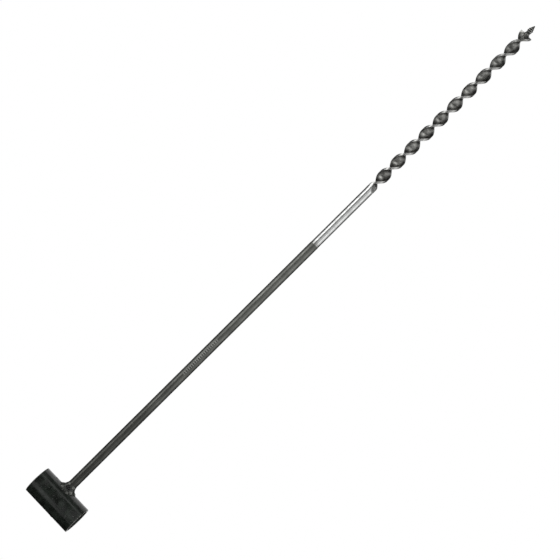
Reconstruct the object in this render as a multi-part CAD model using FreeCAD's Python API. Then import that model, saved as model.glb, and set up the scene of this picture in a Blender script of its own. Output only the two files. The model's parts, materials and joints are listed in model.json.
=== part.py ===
"""Long hand auger with a cross eye: a short tube welded across the top of a round rod, and a
twisted strip bit with two cutting lips and a screw point at the bottom.

The part stands as it is used. +Z is up the tool, +X is along the eye, and the origin is the middle
of the eye's bore. Units are millimetres and degrees. Every station down the tool is worked out from
the lengths below, so a changed length moves all that hangs under it.
"""

import FreeCAD, Part
import math
import os

Vector = FreeCAD.Vector

# ---- eye tube, which takes the cross handle ----
EYE_OUTER_D = 42.4
EYE_WALL = 3.2
EYE_LENGTH = 80.0
EYE_EDGE = 0.7  # rounding on the outer rim of each sawn end
EYE_BORE_CHAMFER = 0.5

# ---- rod, and the weld that holds it to the eye ----
ROD_D = 13.3
ROD_LENGTH = 477.0
WELD_LEG_ROD = 9.2  # height of the fillet up the rod
WELD_LEG_ALONG = 7.6  # reach of the fillet along the eye
WELD_LEG_ACROSS = 5.9  # reach of the fillet round the eye
WELD_LIP = 0.25  # thickness left where the fillet fades out on the rod
SPATTER_RISE = 0.45  # height of a droplet, as a share of the radius of its foot

# Droplets of weld spatter on the eye: place along it as a share of its half length, angle round it
# from the rod towards the front, and radius of the foot.
SPATTER = [
    (0.54, 2.0, 1.5),
    (-0.25, 178.0, 1.9),
    (-0.84, 77.0, 1.3),
    (-0.65, 97.0, 1.4),
    (-0.9, 96.0, 1.0),
    (0.29, 56.0, 1.1),
    (-0.49, 34.0, 1.6),
    (0.08, 87.0, 0.9),
    (0.4, -52.0, 1.2),
    (-0.55, -71.0, 1.0),
]

# ---- round neck of the bit, with the two flats where the bar was forged down to a strip ----
NECK_D = 12.8
NECK_LENGTH = 105.5
RUNOUT_LENGTH = 10.5

# ---- twisted strip ----
TWIST_D = 17.0
TWIST_LENGTH = 277.5
TWIST_PITCH = 55.4
TWIST_START_ANGLE = 115.8  # direction of the strip's width where the twist begins
LAND_T = 4.6  # thickness of the strip at its two edges
WEB_T = 3.4  # thickness of the strip at the middle

# ---- cutting head ----
HEAD_D = 19.8
HEAD_LENGTH = 18.0
FLARE_START = 0.2  # where the strip begins to widen, as a share of the head
FLARE_END = 0.6  # where it has reached the cutting diameter
HEAD_LAND_T = 5.4
HUB_D = 8.8
HUB_END_D = 1.6  # the hub tapers to this inside the strip
HUB_LENGTH = 9.0
LIP_HEIGHT = 5.2
LIP_HEEL = 0.9  # how far each lip's block stands out behind the strip
LIP_RELIEF = 19.0  # angle that the underside falls away behind each cutting edge
RAKE_START_R = 3.9  # where the filed rake facet starts along the cutting edge
RAKE_HEIGHT = 3.2  # how far up the rim the facet reaches
RAKE_DEPTH = 1.1  # what the file took off at the outer corner

# ---- screw point ----
SCREW_LENGTH = 15.2
SCREW_NECK_D = 6.6
SCREW_NECK_LENGTH = 3.4
SCREW_CREST_D = 8.2  # crest diameter of the last full thread
SCREW_TIP_D = 1.2
SCREW_PITCH = 3.1
SCREW_ROOT_SHARE = 0.7  # root radius as a share of the crest radius
SCREW_FADE = 0.15  # share of the threaded length where the thread dies away into the neck
SCREW_BULGE = 0.8  # below 1 rounds the cone outwards
SCREW_FLANK = 0.4  # share of a turn from a crest to the root on either side

# ---- stations down the tool ----
EYE_R = EYE_OUTER_D / 2
ROD_TOP = -EYE_R
NECK_TOP = ROD_TOP - ROD_LENGTH
RUNOUT_TOP = NECK_TOP - NECK_LENGTH
TWIST_TOP = RUNOUT_TOP - RUNOUT_LENGTH
HEAD_TOP = TWIST_TOP - TWIST_LENGTH
LIP_PLANE = HEAD_TOP - HEAD_LENGTH
TURN_PER_MM = 360.0 / TWIST_PITCH

ORIGIN = Vector(0, 0, 0)
X_AXIS = Vector(1, 0, 0)
Z_AXIS = Vector(0, 0, 1)


def strip_angle(z):
    """Direction of the strip's width at height z, for a right-hand twist."""
    return TWIST_START_ANGLE + (z - TWIST_TOP) * TURN_PER_MM


def polar(radius, angle):
    """Point in the XY plane at that radius and angle in radians."""
    return Vector(radius * math.cos(angle), radius * math.sin(angle), 0)


def placed(shape, angle, z):
    """The shape turned about Z and lifted to z."""
    shape.rotate(ORIGIN, Z_AXIS, angle)
    shape.translate(Vector(0, 0, z))
    return shape


def cylinder(diameter, z_low, z_high):
    """Upright cylinder on the tool's axis."""
    return Part.makeCylinder(diameter / 2, z_high - z_low, Vector(0, 0, z_low))


def strip_section(radius, land_t, web_t):
    """Closed outline of the strip: two round edges, and two faces hollowed towards the middle."""
    half = math.asin(land_t / 2 / radius)
    arcs = [
        (-half, Vector(radius, 0, 0), half),
        (half, Vector(0, web_t / 2, 0), math.pi - half),
        (math.pi - half, Vector(-radius, 0, 0), math.pi + half),
        (math.pi + half, Vector(0, -web_t / 2, 0), -half),
    ]
    return Part.Wire([Part.Arc(polar(radius, a), mid, polar(radius, b)).toShape() for a, mid, b in arcs])


def make_eye_tube():
    """The eye: a sawn length of tube along X, rim rounded outside and chamfered inside."""
    start = Vector(-EYE_LENGTH / 2, 0, 0)
    outer = Part.makeCylinder(EYE_R, EYE_LENGTH, start, X_AXIS)
    outer = outer.makeFillet(EYE_EDGE, [e for e in outer.Edges if is_rim(e)])
    bore = Part.makeCylinder(EYE_R - EYE_WALL, EYE_LENGTH, start, X_AXIS)
    tube = outer.cut(bore)
    for side in (-1, 1):
        tube = tube.cut(bore_chamfer(side))
    return tube


def is_rim(edge):
    """True for a full circle, which leaves out the seam line of a cylinder."""
    return edge.Curve.TypeId == "Part::GeomCircle"


def bore_chamfer(side):
    """Cone that breaks the bore's edge at the end of the eye on that side."""
    bore_r = EYE_R - EYE_WALL
    mouth = Vector(side * EYE_LENGTH / 2, 0, 0)
    return Part.makeCone(
        bore_r + EYE_BORE_CHAMFER,
        bore_r,
        EYE_BORE_CHAMFER,
        mouth,
        Vector(-side, 0, 0),
    )


def make_shank_rod():
    """The long round rod, butted square against the eye and against the bit's neck."""
    return cylinder(ROD_D, NECK_TOP, ROD_TOP)


def weld_section(reach_along, reach_across, z):
    """Oval outline of the fillet at height z, that far out from the rod's surface."""
    semi_x = ROD_D / 2 + reach_along
    semi_y = ROD_D / 2 + reach_across
    if semi_x - semi_y < 1e-6:
        edge = Part.Circle(Vector(0, 0, z), Z_AXIS, semi_x).toShape()
    else:
        edge = Part.Ellipse(Vector(semi_x, 0, z), Vector(0, semi_y, z), Vector(0, 0, z)).toShape()
    return Part.Wire([edge])


def make_eye_weld():
    """Fillet weld all round the rod, which also fills the gap under its square end."""
    toe_r = ROD_D / 2 + WELD_LEG_ACROSS
    toe_depth = EYE_R - math.sqrt(EYE_R**2 - toe_r**2)
    stations = [
        (ROD_TOP - WELD_LEG_ROD, WELD_LIP, WELD_LIP),
        (ROD_TOP - WELD_LEG_ROD * 0.55, WELD_LEG_ALONG * 0.27, WELD_LEG_ACROSS * 0.35),
        (ROD_TOP, WELD_LEG_ALONG, WELD_LEG_ACROSS * 0.82),
        (ROD_TOP + toe_depth, WELD_LEG_ALONG * 1.5, WELD_LEG_ACROSS),
    ]
    fillet = Part.makeLoft([weld_section(a, c, z) for z, a, c in stations], True)
    eye = Part.makeCylinder(EYE_R, EYE_LENGTH, Vector(-EYE_LENGTH / 2, 0, 0), X_AXIS)
    return fillet.cut(eye).cut(make_shank_rod())


def make_weld_spatter():
    """Small domed droplets fused to the eye's surface, each a separate solid."""
    eye = Part.makeCylinder(EYE_R, EYE_LENGTH, Vector(-EYE_LENGTH / 2, 0, 0), X_AXIS)
    drops = []
    for share, angle, foot_r in SPATTER:
        rise = foot_r * SPATTER_RISE
        ball_r = (foot_r**2 + rise**2) / (2 * rise)
        centre = Vector(share * EYE_LENGTH / 2, 0, -(EYE_R + rise - ball_r))
        ball = Part.makeSphere(ball_r, centre)
        ball.rotate(ORIGIN, X_AXIS, -angle)
        drops.append(ball.cut(eye))
    return Part.makeCompound(drops)


def make_auger_neck():
    """The bit's round neck, ending in two flats that fade out and a flare up to the strip's width."""
    round_part = cylinder(NECK_D, RUNOUT_TOP, NECK_TOP)
    return round_part.fuse(runout()).removeSplitter()


def runout():
    """The stretch where the bar goes from round to strip: a flared bar kept inside a tapering slab."""
    neck_r, strip_r = NECK_D / 2, TWIST_D / 2
    foot = Vector(0, 0, 0)
    top = Vector(0, 0, RUNOUT_LENGTH)
    flare = Part.BSplineCurve()
    flare.interpolate(
        Points=[Vector(strip_r, 0, 0), Vector(neck_r, 0, RUNOUT_LENGTH)],
        InitialTangent=Vector(0, 0, 1),
        FinalTangent=Vector(0, 0, 1),
        Scale=True,
    )
    outline = Part.Wire(
        [
            Part.LineSegment(foot, Vector(strip_r, 0, 0)).toShape(),
            flare.toShape(),
            Part.LineSegment(Vector(neck_r, 0, RUNOUT_LENGTH), top).toShape(),
            Part.LineSegment(top, foot).toShape(),
        ]
    )
    bar = Part.Face(outline).revolve(ORIGIN, Z_AXIS, 360)
    bar = Part.Solid(bar.Shells[0]) if bar.ShapeType != "Solid" else bar
    slab_sections = [slab_section(share) for share in (0.0, 0.25, 0.5, 0.75, 1.0)]
    slab = Part.makeLoft(slab_sections, True)
    return placed(bar.common(slab), TWIST_START_ANGLE, TWIST_TOP)


def slab_section(share):
    """Outline of the slab between the two flats, from the strip's own faces up to the full bar."""
    z = RUNOUT_LENGTH * share
    half_width = TWIST_D / 2 * 1.3
    web, land = WEB_T / 2, LAND_T / 2
    climb = (NECK_D / 2 - web) * (1 - math.sqrt(max(0.0, 1 - share**2)) * 0.35 - 0.65 * (1 - share))
    middle = web + climb
    hollow = (land - web) * (1 - share)
    face_half = TWIST_D / 2 * math.cos(math.asin(land / (TWIST_D / 2)))
    edge = middle + hollow * (half_width / face_half) ** 2
    corners = [
        Vector(half_width, -edge, z),
        Vector(half_width, edge, z),
        Vector(-half_width, edge, z),
        Vector(-half_width, -edge, z),
    ]
    upper = face_curve(corners[1], Vector(0, middle, z), corners[2])
    lower = face_curve(corners[3], Vector(0, -middle, z), corners[0])
    return Part.Wire(
        [
            Part.LineSegment(corners[0], corners[1]).toShape(),
            upper,
            Part.LineSegment(corners[2], corners[3]).toShape(),
            lower,
        ]
    )


def face_curve(start, middle, end):
    """Arc through three points, or a straight line where they lie in one."""
    if abs(start.y - middle.y) < 1e-6:
        return Part.LineSegment(start, end).toShape()
    return Part.Arc(start, middle, end).toShape()


def make_auger_twist():
    """The strip, twisted right-handed at a constant pitch and cut square at both ends."""
    spine = Part.Wire([Part.LineSegment(ORIGIN, Vector(0, 0, TWIST_LENGTH)).toShape()])
    guide = Part.makeHelix(TWIST_PITCH, TWIST_LENGTH, TWIST_D)
    sweep = Part.BRepOffsetAPI.MakePipeShell(spine)
    sweep.setAuxiliarySpine(guide, True, 0)
    sweep.add(strip_section(TWIST_D / 2, LAND_T, WEB_T), False, False)
    sweep.build()
    sweep.makeSolid()
    return placed(sweep.shape(), strip_angle(HEAD_TOP), HEAD_TOP)


def smooth_step(share):
    """0 to 1 with no corner at either end."""
    share = min(1.0, max(0.0, share))
    return share * share * (3 - 2 * share)


def head_section(share):
    """The strip's outline that far down the head, wider and thicker towards the lips."""
    flare = smooth_step((share - FLARE_START) / (FLARE_END - FLARE_START))
    radius = (TWIST_D + (HEAD_D - TWIST_D) * flare) / 2
    land = LAND_T + (HEAD_LAND_T - LAND_T) * share
    z = HEAD_TOP - HEAD_LENGTH * share
    return placed(strip_section(radius, land, WEB_T), strip_angle(z), z)


def in_lip_frame(shape):
    """Moves a shape from the lips' own frame, with the lips along X at z 0, to its place."""
    return placed(shape, strip_angle(LIP_PLANE), LIP_PLANE)


def heel_section(height):
    """Outline of the block behind one lip, turned to follow the strip at that height."""
    rim, back = HEAD_D / 2, HEAD_LAND_T / 2 + LIP_HEEL
    sweep = math.asin(back / rim)
    edges = [
        Part.LineSegment(ORIGIN, polar(rim, 0)).toShape(),
        Part.Arc(polar(rim, 0), polar(rim, sweep / 2), polar(rim, sweep)).toShape(),
        Part.LineSegment(polar(rim, sweep), Vector(0, back, 0)).toShape(),
        Part.LineSegment(Vector(0, back, 0), ORIGIN).toShape(),
    ]
    return placed(Part.Wire(edges), height * TURN_PER_MM, height)


def heel_block(turn):
    """Block that backs up one lip, from the axis to the rim, proud of the strip's trailing face."""
    block = Part.makeLoft([heel_section(LIP_HEIGHT * i / 3) for i in range(4)], True)
    return block.rotated(ORIGIN, Z_AXIS, turn)


def relief_cut(turn):
    """Block that slopes one lip's underside away behind its cutting edge."""
    reach = HEAD_D
    tool = Part.makeBox(reach, 2 * reach, reach, Vector(0, 0, -reach))
    tool.rotate(ORIGIN, X_AXIS, LIP_RELIEF)
    tool.translate(Vector(0, -HEAD_LAND_T / 2, 0))
    return tool.rotated(ORIGIN, Z_AXIS, turn)


def rake_cut(turn):
    """Wedge that files a flat facet off one lip's leading face, deepest at the outer corner."""
    rim, face = HEAD_D / 2, -HEAD_LAND_T / 2
    start = Vector(RAKE_START_R, -WEB_T / 2, 0)
    up_rim = Vector(rim, face, RAKE_HEIGHT) - start
    to_corner = Vector(rim, face + RAKE_DEPTH, 0) - start
    outward = to_corner.cross(up_rim).normalize() * HEAD_LAND_T
    overrun = 1.3
    corners = [start, start + to_corner * overrun, start + up_rim * overrun, start]
    tool = Part.Face(Part.makePolygon(corners)).extrude(outward)
    return tool.rotated(ORIGIN, Z_AXIS, turn)


def make_cutting_head():
    """The end of the strip, flared to the cutting diameter, with two filed lips and a round hub."""
    sections = [head_section(i / 8) for i in range(9)]
    head = Part.makeLoft(sections, True)
    for turn in (0, 180):
        head = head.fuse(in_lip_frame(heel_block(turn)))
    for turn in (0, 180):
        head = head.cut(in_lip_frame(relief_cut(turn)))
        head = head.cut(in_lip_frame(rake_cut(turn)))
    hub = Part.makeCone(HUB_D / 2, HUB_END_D / 2, HUB_LENGTH)
    return head.fuse(in_lip_frame(hub))


def screw_section(share):
    """The screw's outline that far up its thread: a spiral cam, which twists into one thread."""
    fade = smooth_step((1 - share) / SCREW_FADE)
    tip_r, crest_r, neck_r = SCREW_TIP_D / 2, SCREW_CREST_D / 2, SCREW_NECK_D / 2
    full_crest = tip_r + (crest_r - tip_r) * min(1.0, share / (1 - SCREW_FADE)) ** SCREW_BULGE
    crest = neck_r + (full_crest - neck_r) * fade
    root = neck_r + (full_crest * SCREW_ROOT_SHARE - neck_r) * fade
    points = []
    for step in range(17):
        turn = step / 16
        height = max(0.0, 1 - min(turn, 1 - turn) / SCREW_FLANK)
        points.append(polar(root + (crest - root) * height, 2 * math.pi * turn))
    halves = []
    for half in (points[:9], points[8:]):
        curve = Part.BSplineCurve()
        curve.interpolate(Points=half)
        halves.append(curve.toShape())
    z = (SCREW_LENGTH - SCREW_NECK_LENGTH) * share
    return placed(Part.Wire(halves), 360 * z / SCREW_PITCH, z)


def make_lead_screw():
    """The screw point: a right-hand thread on a cone, running out into a plain neck."""
    thread_length = SCREW_LENGTH - SCREW_NECK_LENGTH
    steps = math.ceil(thread_length / SCREW_PITCH * 12)
    sections = [screw_section(i / steps) for i in range(steps + 1)]
    thread = Part.makeLoft(sections, True, False, False, 3)
    neck = Part.Face(sections[-1]).extrude(Vector(0, 0, SCREW_NECK_LENGTH))
    return placed(thread.fuse(neck), strip_angle(LIP_PLANE), LIP_PLANE - SCREW_LENGTH)


MAKERS = {
    "eye_tube": make_eye_tube,
    "eye_weld": make_eye_weld,
    "weld_spatter": make_weld_spatter,
    "shank_rod": make_shank_rod,
    "auger_neck": make_auger_neck,
    "auger_twist": make_auger_twist,
    "cutting_head": make_cutting_head,
    "lead_screw": make_lead_screw,
}


def main():
    os.makedirs("parts", exist_ok=True)
    for name, make in MAKERS.items():
        shape = make()
        shape.exportStep(f"parts/{name}.step")
        box = shape.BoundBox
        print(
            f"{name}: {len(shape.Solids)} solid(s), valid {shape.isValid()}, "
            f"{shape.Volume:.1f} mm3, z {box.ZMin:.1f} to {box.ZMax:.1f}"
        )


main()
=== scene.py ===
# %% [markdown]
# # A long hand auger with a cross eye
#
# The tool is a steel bit with a screw point, a twisted strip and a bright round neck, joined to a
# long black rod. A short tube, the eye, is welded across the top of the rod and takes a wooden
# handle. The engineering model comes first and fixes every size and place. This lesson builds the
# surfaces that the eye sees on top of it: paint, weld, forged steel and ground steel.

# %% Load the fixed frame
import json
import math

import bmesh
import bpy
from mathutils import Matrix, Vector, noise


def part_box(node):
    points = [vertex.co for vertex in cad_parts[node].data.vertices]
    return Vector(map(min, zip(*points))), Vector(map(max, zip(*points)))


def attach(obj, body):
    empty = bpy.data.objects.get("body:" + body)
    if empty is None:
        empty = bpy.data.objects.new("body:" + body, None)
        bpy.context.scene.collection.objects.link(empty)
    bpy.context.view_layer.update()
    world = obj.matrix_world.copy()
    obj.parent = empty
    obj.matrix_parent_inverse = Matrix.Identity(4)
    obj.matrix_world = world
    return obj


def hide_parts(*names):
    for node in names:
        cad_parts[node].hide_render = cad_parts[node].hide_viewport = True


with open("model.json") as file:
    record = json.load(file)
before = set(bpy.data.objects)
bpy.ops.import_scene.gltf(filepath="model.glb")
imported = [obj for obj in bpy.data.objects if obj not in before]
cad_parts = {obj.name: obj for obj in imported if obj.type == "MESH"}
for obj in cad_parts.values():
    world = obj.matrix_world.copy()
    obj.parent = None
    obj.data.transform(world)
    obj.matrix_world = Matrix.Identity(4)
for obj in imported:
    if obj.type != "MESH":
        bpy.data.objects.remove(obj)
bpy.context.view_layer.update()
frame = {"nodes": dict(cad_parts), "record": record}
scene = bpy.context.scene
print("nodes:", sorted(frame["nodes"]))

# %% [markdown]
# ## Sizes
#
# Sizes that the frame holds are read from it, so the looks follow the design. The rest are the
# shop sizes of the forging, in millimetres, turned to metres by one small function. Heights run
# down from the eye: the tool hangs with its point towards the floor.

# %% Sizes from the frame, and the forging's own sizes


def mm(length):
    """Millimetres to metres."""
    return length * 0.001


_, eye_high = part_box("eye_tube")
rod_low, rod_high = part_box("shank_rod")
_, neck_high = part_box("auger_neck")
twist_low, twist_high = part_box("auger_twist")
screw_low, screw_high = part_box("lead_screw")

bore = next(m for m in frame["record"]["mounts"] if m["name"] == "eye_bore")
EYE_BORE_R = mm(bore["dims"]["r_mm"])
EYE_WALL = mm(3.2)
EYE_R = EYE_BORE_R + EYE_WALL
EYE_HALF = eye_high.x
ROD_R = mm(13.3) / 2
NECK_R = mm(12.8) / 2
TWIST_R = mm(17.0) / 2
HEAD_R = mm(19.8) / 2
PITCH = mm(55.4)
START_ANGLE = math.radians(115.8)
LAND_T = mm(4.6)
WEB_T = mm(3.4)
HEAD_LAND_T = mm(5.4)
RUNOUT = mm(10.5)
RUNOUT_TOP = twist_high.z + RUNOUT
TURN = 2 * math.pi / PITCH
print(f"eye {2 * EYE_R * 1000:.1f} mm across, tool {1000 * (eye_high.z - screw_low.z):.0f} mm long")


def strip_angle(z):
    """Direction of the strip's width at height z. It turns right-handed, one turn a pitch."""
    return START_ANGLE + (z - twist_high.z) * TURN


# %% [markdown]
# ## Helpers for meshes
#
# Most of this tool is round or a section carried along a line, so one function does nearly all of
# the mesh work: it joins a list of rings, each with the same number of points, into a skin. It
# closes the ends with fans, recalculates the normals so that they point out, and marks edges
# sharper than a given angle so that smooth shading stops there.

# %% A skin over rings


def finish_mesh(name, bm, sharp_degrees=35):
    """Turns a bmesh into a linked object with outward normals and smooth shading."""
    bmesh.ops.remove_doubles(bm, verts=bm.verts, dist=mm(0.002))
    bmesh.ops.recalc_face_normals(bm, faces=bm.faces)
    mesh = bpy.data.meshes.new(name)
    bm.to_mesh(mesh)
    bm.free()
    mesh.shade_smooth()
    mesh.set_sharp_from_angle(angle=math.radians(sharp_degrees))
    piece = bpy.data.objects.new(name, mesh)
    scene.collection.objects.link(piece)
    return piece


def skin(name, rings, closed=False, sharp_degrees=35):
    """Skin over rings of points. A closed skin joins its last ring to its first."""
    bm = bmesh.new()
    rows = [[bm.verts.new(point) for point in ring] for ring in rings]
    pairs = list(zip(rows, rows[1:]))
    if closed:
        pairs.append((rows[-1], rows[0]))
    count = len(rows[0])
    for upper, lower in pairs:
        for i in range(count):
            j = (i + 1) % count
            bm.faces.new((upper[i], upper[j], lower[j], lower[i]))
    if not closed:
        for row in (rows[0], rows[-1]):
            middle = sum((v.co for v in row), Vector()) / count
            hub = bm.verts.new(middle)
            for i in range(count):
                bm.faces.new((row[i], row[(i + 1) % count], hub))
    return finish_mesh(name, bm, sharp_degrees)


def ring(radius, z, count=128):
    """Round ring of points about the tool's axis."""
    steps = [2 * math.pi * i / count for i in range(count)]
    return [Vector((radius * math.cos(a), radius * math.sin(a), z)) for a in steps]


# %% [markdown]
# ## Helpers for materials
#
# Colours are written as hex values, as they look on a screen, and turned to the linear values that
# the renderer works in. One function adds a node: it sets the node's properties and inputs, and
# links any input whose value is another node's output. Arithmetic and smooth steps are used by
# materials and by geometry alike, so they are here too.

# %% Colour and node helpers


def srgb(code):
    """Hex colour, as seen on a screen, to linear red, green, blue and alpha."""
    parts = [int(code[i : i + 2], 16) / 255 for i in (0, 2, 4)]
    linear = [c / 12.92 if c <= 0.04045 else ((c + 0.055) / 1.055) ** 2.4 for c in parts]
    return (*linear, 1.0)


def add_node(tree, kind, settings=None, **inputs):
    """Adds a node. Settings are its properties; inputs are values, or output sockets to link.

    An input is given by its name, or as i0, i1 and so on where names repeat.
    """
    made = tree.nodes.new(kind)
    for key, value in (settings or {}).items():
        setattr(made, key, value)
    for key, value in inputs.items():
        socket = made.inputs[int(key[1:])] if key[0] == "i" and key[1:].isdigit() else None
        socket = socket or made.inputs[key.replace("_", " ")]
        if isinstance(value, bpy.types.NodeSocket):
            tree.links.new(value, socket)
        else:
            socket.default_value = value
    return made


def emptied(owner):
    """Node tree of a material or a world, with nothing in it."""
    owner.use_nodes = True
    owner.node_tree.nodes.clear()
    return owner.node_tree


def new_material(name):
    """Material with a Principled shader joined to its output."""
    material = bpy.data.materials.new(name)
    tree = emptied(material)
    shader = add_node(tree, "ShaderNodeBsdfPrincipled")
    out = add_node(tree, "ShaderNodeOutputMaterial")
    tree.links.new(shader.outputs[0], out.inputs["Surface"])
    return material, tree, shader


def calc(tree, operation, a, b=0.0):
    """One arithmetic step between values or sockets."""
    return add_node(tree, "ShaderNodeMath", {"operation": operation}, i0=a, i1=b).outputs[0]


def fade(tree, value, low, high, start=0.0, end=1.0):
    """Smooth change from start to end while the value goes from low to high."""
    made = add_node(
        tree,
        "ShaderNodeMapRange",
        {"interpolation_type": "SMOOTHSTEP"},
        i0=value,
        i1=low,
        i2=high,
        i3=start,
        i4=end,
    )
    return made.outputs[0]


# %% [markdown]
# ## Camera
#
# The camera looks level at the middle of the tool from nearly two metres, six degrees off the
# eye's square-on side, through a long lens, so the tool hardly narrows with distance. It is rolled
# so that the screw point runs to the upper right of the view.

# %% Camera
VIEW_AZIMUTH = math.radians(6.0)
POINT_ANGLE = math.radians(44.76)  # slope of the tool across the view
CAMERA_DISTANCE = mm(1925)
LOOK_AT_Z = mm(-430.6)
SIDE_STEP = mm(0.95)

to_camera = Vector((-math.sin(VIEW_AZIMUTH), -math.cos(VIEW_AZIMUTH), 0))
point_way = Vector((0, 0, -1))
side_way = point_way.cross(to_camera)
view_right = point_way * math.cos(POINT_ANGLE) + side_way * math.sin(POINT_ANGLE)
view_up = to_camera.cross(view_right)

lens = bpy.data.cameras.new("camera")
lens.sensor_width = 36
lens.lens = 90
camera = bpy.data.objects.new("camera", lens)
scene.collection.objects.link(camera)
seen_from = Vector((0, 0, LOOK_AT_Z)) + side_way * SIDE_STEP + to_camera * CAMERA_DISTANCE
turned = Matrix((view_right, view_up, to_camera)).transposed().to_4x4()
camera.matrix_world = Matrix.Translation(seen_from) @ turned
scene.camera = camera
print("camera at", [round(c, 3) for c in seen_from])

# %% [markdown]
# ## The eye
#
# The eye is a length of steel tube cut with a saw, its outer rim rubbed round and its bore broken
# with a small chamfer. A tube is a closed outline of the wall turned about its own axis, so the
# outline is drawn once, in distance along the tube and radius, and carried round. A slow waviness
# of a few hundredths of a millimetre keeps the paint's reflections from looking machined.

# %% Eye tube
EYE_EDGE = mm(0.7)
BORE_CHAMFER = mm(0.5)
WAVINESS = mm(0.05)


def eye_outline():
    """Closed outline of the wall, as (distance along, radius), once round the wall."""
    quarter = [math.pi / 2 * i / 6 for i in range(7)]
    centre_x, centre_r = EYE_HALF - EYE_EDGE, EYE_R - EYE_EDGE
    right = [(centre_x + EYE_EDGE * math.sin(a), centre_r + EYE_EDGE * math.cos(a)) for a in quarter]
    right += [(EYE_HALF, EYE_BORE_R + BORE_CHAMFER), (EYE_HALF - BORE_CHAMFER, EYE_BORE_R)]
    left = [(-x, r) for x, r in reversed(right)]
    outside = [(centre_x * (i / 40 - 1), EYE_R) for i in range(1, 80)]
    inside = [((EYE_HALF - BORE_CHAMFER) * (1 - i / 10), EYE_BORE_R) for i in range(1, 20)]
    return left + outside + right + inside


def eye_ring(along, radius, count=144):
    """One ring about the eye's axis, with the outside made slightly wavy."""
    points = []
    for i in range(count):
        a = 2 * math.pi * i / count
        spot = Vector((along / mm(18), 1.3 * math.cos(a), 1.3 * math.sin(a)))
        sink = WAVINESS * (noise.noise(spot) - 1) / 2 if radius > EYE_R - EYE_EDGE else 0
        points.append(Vector((along, (radius + sink) * math.cos(a), (radius + sink) * math.sin(a))))
    return points


eye = skin("eye", [eye_ring(x, r) for x, r in eye_outline()], closed=True)
print("eye:", len(eye.data.polygons), "faces")

# %% [markdown]
# ## The weld
#
# Two or three short runs of bead were laid round the rod's upper end by hand, so the fillet is
# lumpy, with a crater in front where the arc broke off. The fillet starts as a smooth skin from
# the rod out to an oval toe on the tube. Then each point moves along its normal by a sum of soft
# blobs, the ripples of the bead and a little noise. The toe is carried on into the tube's wall and
# closed there, so no gap opens beside a lump.

# %% Weld fillet
WELD_LEG = mm(9.2)  # down the rod
WELD_ALONG = mm(7.6)  # along the eye
WELD_ACROSS = mm(5.9)  # round the eye
WELD_LIP = mm(0.15)
WELD_INSIDE = mm(0.6)  # how far the bead reaches into the rod
WELD_SUNK = mm(1.4)  # how far its toe reaches into the tube's wall
RIPPLES = 23
RIPPLE_HEIGHT = 0.06
WELD_LOW = rod_high.z - WELD_LEG

# Lumps of the bead, in millimetres: where they lie, how wide, and how far they stand out or sink.
LUMPS = [
    ((3.4, -6.0, -29.4), 2.2, 1.6),
    ((-4.8, -5.2, -28.8), 2.2, 1.6),
    ((-8.2, -7.8, -22.6), 2.6, 2.1),
    ((2.4, -8.4, -25.2), 2.6, -2.0),
    ((-1.8, -8.6, -25.4), 2.6, -2.0),
    ((7.6, -8.8, -21.4), 2.4, 1.4),
    ((-3.6, -11.6, -19.4), 2.3, 1.5),
    ((3.4, -11.4, -19.4), 1.7, 1.0),
    ((10.6, -2.0, -22.6), 2.2, 1.1),
    ((-11.0, 0.5, -22.6), 2.3, 1.2),
    ((5.5, 8.0, -24.0), 3.0, 0.8),
    ((-6.0, 7.5, -25.0), 2.8, 0.9),
]


def weld_point(angle, share):
    """Point on the plain fillet, from the rod at share 0 to the toe at share 1."""
    way = Vector((math.cos(angle), math.sin(angle), 0))
    start = way * (ROD_R + WELD_LIP) + Vector((0, 0, WELD_LOW))
    reach = Vector((way.x * (ROD_R + WELD_ALONG), way.y * (ROD_R + WELD_ACROSS), 0))
    toe = reach - Vector((0, 0, math.sqrt(EYE_R**2 - reach.y**2)))
    bend = way * (ROD_R + mm(1.3)) + Vector((0, 0, toe.z - mm(2.2)))
    return start * (1 - share) ** 2 + bend * 2 * share * (1 - share) + toe * share**2


def weld_offset(point):
    """How far the bead stands out from the plain fillet there."""
    out = 0.0
    for centre, width, height in LUMPS:
        gap = (point - Vector(centre) * mm(1)).length / mm(width)
        out += mm(height) * math.exp(-gap * gap)
    ripple = math.sin(math.atan2(point.y, point.x) * RIPPLES + point.z / mm(0.9))
    grit = noise.noise(point / mm(2.4)) * 0.25 + noise.noise(point / mm(0.9)) * 0.05
    return out + mm(RIPPLE_HEIGHT * ripple + grit)


def make_weld():
    """The bead's skin. How far each point stands proud, in millimetres, is kept for its paint, with its
    painted highlights and painted shade.
    """
    count, steps = 180, 34
    angles = [2 * math.pi * i / count for i in range(count)]
    rings = [[weld_point(a, s / steps) for a in angles] for s in range(steps + 1)]
    inner = [Vector((math.cos(a), math.sin(a), 0)) * (ROD_R - WELD_INSIDE) for a in angles]
    inner = [p + Vector((0, 0, WELD_LOW)) for p in inner]
    sunk = [p + Vector((0, 0, WELD_SUNK)) for p in rings[-1]]
    weld = skin("weld_bead", [inner] + rings + [sunk], sharp_degrees=60)
    proud = weld.data.attributes.new("proud", "FLOAT", "POINT")
    for i, vertex in enumerate(weld.data.vertices):
        radius = math.hypot(vertex.co.x, vertex.co.y)
        out = weld_offset(vertex.co)
        proud.data[i].value = out * 1000
        if radius > ROD_R:
            vertex.co += vertex.normal * out
    weld.data.update()
    return weld


weld = make_weld()
print("weld:", len(weld.data.polygons), "faces")

# %% [markdown]
# ## Spatter
#
# Drops of molten steel flew off the weld and froze on the tube as low domes. They repeat, and they
# sit on a surface, so Geometry Nodes make them: the large ones stand on chosen points that carry
# their own size and outward direction, and small ones are scattered at random over three patches
# of the tube, on both sides of the weld and near the end that faced the welder.

# %% Spatter points and patches
PATCH_CELLS = 12

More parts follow.
